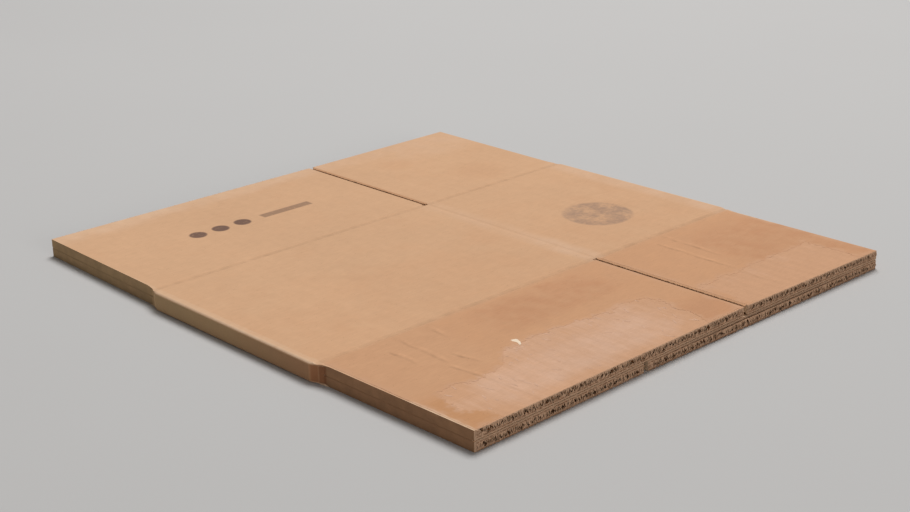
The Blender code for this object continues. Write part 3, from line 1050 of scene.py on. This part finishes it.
class OBJECT_OT_torn_scraps(bpy.types.Operator):
    """Scatters shreds over the torn patch and sets the pale lifted fleck beside it"""

    bl_idname = "flat_box.torn_scraps"
    bl_label = "Torn Scraps"

    def execute(self, context):
        look = group("board_look")
        tear = group("tear_look")
        plan = Plan()
        rng = random.Random(SHRED_SEED)
        paper = SHRED_THICKNESS * tear.ply
        shreds = []
        while len(shreds) < tear.shreds:
            along = rng.uniform(SHREDS_START, plan.end - SHREDS_END)
            middle = (along, rng.uniform(*SHREDS_ACROSS))
            depth = inside_depth(middle, TORN_BORDER)
            wanted = rng.random() < math.exp(-max(depth, 0.0) / SHREDS_THIN_OUT)
            if wanted and depth > SHREDS_LEAST_DEPTH:
                size = (rng.uniform(*SHRED_LENGTH), rng.uniform(*SHRED_WIDTH))
                shreds.append(shred(rng, middle, size, rng.uniform(*SHRED_TURN), rng.uniform(*SHRED_RISE)))
        joined = join_all(shreds)
        thicken(joined, paper)
        settle(joined, "torn_shreds", scrap_material("torn_shred_paper", look.torn_pale, contrast=0.4))
        fleck = shred(rng, **FLECK)
        thicken(fleck, paper)
        settle(fleck, "lifted_fleck", scrap_material("fleck_paper", look.fleck, contrast=0.25))
        return {"FINISHED"}


# Frayed ends in millimetres: insets from the sides, the rear cut's inset, and leans of teeth and burrs
NEAR_END_INSET = 2.6
FAR_END_INSET = 1.0
REAR_CUT = 1.0
TOOTH_LEAN = 0.04
BURR_LEAN = 0.25
# Frayed sides: insets from the rear end and the shoulders, root over the parting line, and shortest tooth
REAR_END_INSET = 1.5
REAR_SHOULDER_INSET = 5.0
FRONT_SHOULDER_INSET = 2.0
SIDE_ROOT = 0.45
SIDE_LEAN = 0.04
SIDE_LEAST = 0.75
# Frayed slots: insets from the rear end and the other ends, root over the top face, and shortest tooth
SLOT_REAR_INSET = 2.0
SLOT_INSET = 1.0
SLOT_ROOT = 0.02
SLOT_LEAN = -0.5
SLOT_LEAST = 0.65
FRAY_SEED = 23


def end_strips(rng, plan, liners, place, outward):
    """Frayed strips of every liner at one end of the box: teeth that stand out, and burrs over the flutes.

    liners holds each liner's height and the way its burrs hang. place gives where the cut is, along X.
    """
    look = group("cut_look")
    inward = (-outward, 0, 0)
    strips = []
    for height, hang in liners:
        line = plan.line if height > plan.middle else -plan.line
        near_flap = (NEAR_END_INSET - plan.side, line - plan.half_slot)
        far_flap = (line + plan.half_slot, plan.side - FAR_END_INSET)
        for low, high in (near_flap, far_flap):
            spots = (place(low), low, height), (place(high), high, height)
            strips.append(frayed_edge(rng, *spots, inward, (outward, 0, TOOTH_LEAN), look.reach))
            strips.append(frayed_edge(rng, *spots, inward, (BURR_LEAN * outward, 0, hang), look.burr))
    return strips


def side_strips(rng, plan):
    """Crushed paper over the parting line of the two layers, along the cut sides of the flaps."""
    rear_start = plan.rear_tip + REAR_END_INSET
    rear_end = plan.rear - REAR_SHOULDER_INSET
    front_start = plan.front + plan.half_score + FRONT_SHOULDER_INSET
    sides = (
        (-1, (rear_start, -plan.side + plan.rear_long_drift), (rear_end, -plan.side)),
        (-1, (front_start, plan.long_side(front_start)), (plan.end, plan.long_side(plan.end))),
        (1, (rear_start, plan.side - plan.rear_short_drift), (rear_end, plan.side)),
        (1, (front_start, plan.short_side(front_start)), (plan.end, plan.short_side(plan.end))),
    )
    reach = group("cut_look").reach
    strips = []
    for outward, start, end in sides:
        spots = (*start, plan.middle + SIDE_ROOT), (*end, plan.middle + SIDE_ROOT)
        lean = (0, SIDE_LEAN * outward, -1)
        strips.append(frayed_edge(rng, *spots, (0, -outward, 0), lean, reach, SIDE_LEAST))
    return strips


def slot_strips(rng, plan):
    """Frayed strips along both rims of the two upper slots, pressed down into them."""
    reach = group("cut_look").slot_reach
    strips = []
    height = plan.top + SLOT_ROOT
    rear_slot = (plan.rear_tip + SLOT_REAR_INSET, plan.rear - SLOT_INSET)
    front_slot = (plan.front + SLOT_INSET, plan.end - SLOT_INSET)
    for start, end in (rear_slot, front_slot):
        for side in (-1, 1):
            rim = plan.line + side * plan.half_slot
            spots = (start, rim, height), (end, rim, height)
            lean = (0, -side, SLOT_LEAN)
            strips.append(frayed_edge(rng, *spots, (0, side, 0), lean, reach, SLOT_LEAST))
    return strips


class OBJECT_OT_frayed_cuts(bpy.types.Operator):
    """Frays the cut edges at the flap ends, along the upper slots and along the flaps' sides"""

    bl_idname = "flat_box.frayed_cuts"
    bl_label = "Frayed Cuts"

    def execute(self, context):
        look = group("board_look")
        paper = group("cut_look").paper
        plan = Plan()
        rng = random.Random(FRAY_SEED)
        half_liner = look.liner / 2 / MM
        caliper = look.caliper / MM
        liner_paper = scrap_material("frayed_liner", look.cut, contrast=0.6)
        slot_paper = scrap_material("pressed_slot_rim", look.kraft_dark, contrast=0.4)
        liners = (
            (plan.top - half_liner, -1),
            (plan.top - caliper + half_liner, 1),
            (plan.bottom + caliper - half_liner, -1),
            (plan.bottom + half_liner, 1),
        )
        rear_cut = plan.rear_tip + REAR_CUT
        pieces = (
            ("front_fray", end_strips(rng, plan, liners, plan.front_end, 1), liner_paper),
            ("rear_fray", end_strips(rng, plan, liners, lambda py: rear_cut, -1), liner_paper),
            ("slot_fray", slot_strips(rng, plan), slot_paper),
            ("side_fray", side_strips(rng, plan), side_paper_material()),
        )
        for name, strips, material in pieces:
            joined = join_all(strips)
            thicken(joined, paper)
            settle(joined, name, material)
        return {"FINISHED"}


# The studio: size of the floor and its gap below the box, places and sizes of the lights, and the surround
FLOOR_SIZE = 24.0
FLOOR_GAP = 0.1 * MM
KEY_PLACE = (-0.6, 1.1, 3.2)
KEY_SIZE = 1.6
FILL_PLACE = (3.6, -0.4, 0.7)
FILL_SIZE = 1.4
SURROUND = (1.0, 0.99, 0.98, 1.0)


class OBJECT_OT_studio(bpy.types.Operator):
    """Adds the floor, the lights and the camera"""

    bl_idname = "flat_box.studio"
    bl_label = "Studio"

    def execute(self, context):
        stage = group("stage_look")
        deselect()
        bpy.ops.mesh.primitive_plane_add(size=FLOOR_SIZE, location=(0, 0, LOW.z - FLOOR_GAP))
        floor = bpy.context.object
        floor.name = "studio_floor"
        floor.data.materials.append(floor_material())
        add_light("key_light", KEY_PLACE, KEY_SIZE, stage.key_power)
        add_light("fill_light", FILL_PLACE, FILL_SIZE, stage.fill_power)
        world = bpy.data.worlds.new("studio_surround")
        world.use_nodes = True
        surround = world.node_tree.nodes["Background"]
        surround.inputs["Color"].default_value = SURROUND
        surround.inputs["Strength"].default_value = stage.sky
        context.scene.world = world
        context.scene.view_settings.view_transform = "Standard"
        add_camera(stage.lens)
        return {"FINISHED"}


def add_light(name, location, size, energy):
    bpy.ops.object.light_add(type="AREA", location=location)
    light = bpy.context.object
    light.name = name
    light.data.size = size
    light.data.energy = energy
    light.rotation_euler = (-Vector(location)).to_track_quat("-Z", "Y").to_euler()


# Where the photograph was taken from: place, the point on the top face at its middle, and how far it leans
CAMERA_PLACE = Vector((0.65304, -0.60875, 0.33304))
CAMERA_AIM = Vector((0.01541, -0.01203, 0.01120))
CAMERA_ROLL = math.radians(-1.24)
SENSOR_WIDTH = 36.0


def add_camera(lens):
    bpy.ops.object.camera_add(location=CAMERA_PLACE)
    camera = bpy.context.object
    camera.name = "photo_camera"
    look = (CAMERA_AIM - CAMERA_PLACE).to_track_quat("-Z", "Y").to_matrix()
    camera.rotation_euler = (look @ Matrix.Rotation(CAMERA_ROLL, 3, "Z")).to_euler()
    camera.data.sensor_width = SENSOR_WIDTH
    camera.data.lens = lens
    bpy.context.scene.camera = camera


def floor_material():
    """A plain pale matte floor with a faint cloudiness."""
    graph = Graph("floor_matte")
    clouds = graph.noise(grain=300.0)
    tint = graph.shade(graph.plain(group("stage_look").floor), 1 + 0.03 * clouds)
    return graph.finish(tint, 0.9 + 0.05 * clouds, 0.02 * graph.noise(grain=1.5, detail=2.0))


class VIEW3D_PT_flat_box(bpy.types.Panel):
    """Sizes, colours and steps of the flattened box"""

    bl_idname = "VIEW3D_PT_flat_box"
    bl_label = "Flattened Box"
    bl_space_type = "VIEW_3D"
    bl_region_type = "UI"
    bl_category = "Flattened Box"

    def draw(self, context):
        for name in GROUPS:
            settings = getattr(context.scene, name)
            section = self.layout.box()
            for key in settings.bl_rna.properties.keys():
                if key not in ("rna_type", "name"):
                    section.prop(settings, key)
        for operator in STEPS:
            self.layout.operator(operator.bl_idname)


GROUPS = {
    "box_layout": BoxLayout,
    "board_look": BoardLook,
    "tear_look": TearLook,
    "cut_look": CutLook,
    "print_look": PrintLook,
    "stage_look": StageLook,
}
STEPS = (
    OBJECT_OT_board_finish,
    OBJECT_OT_front_ply,
    OBJECT_OT_torn_scraps,
    OBJECT_OT_frayed_cuts,
    OBJECT_OT_studio,
)


def register():
    for cls in (*GROUPS.values(), *STEPS, VIEW3D_PT_flat_box):
        bpy.utils.register_class(cls)
    for name, settings in GROUPS.items():
        setattr(bpy.types.Scene, name, PointerProperty(type=settings))


def unregister():
    for name in GROUPS:
        delattr(bpy.types.Scene, name)
    for cls in (VIEW3D_PT_flat_box, *reversed(STEPS), *reversed(GROUPS.values())):
        bpy.utils.unregister_class(cls)


def main():
    register()
    bpy.ops.flat_box.board_finish()
    bpy.ops.flat_box.front_ply()
    bpy.ops.flat_box.torn_scraps()
    bpy.ops.flat_box.frayed_cuts()
    bpy.ops.flat_box.studio()


if __name__ == "__main__":
    main()
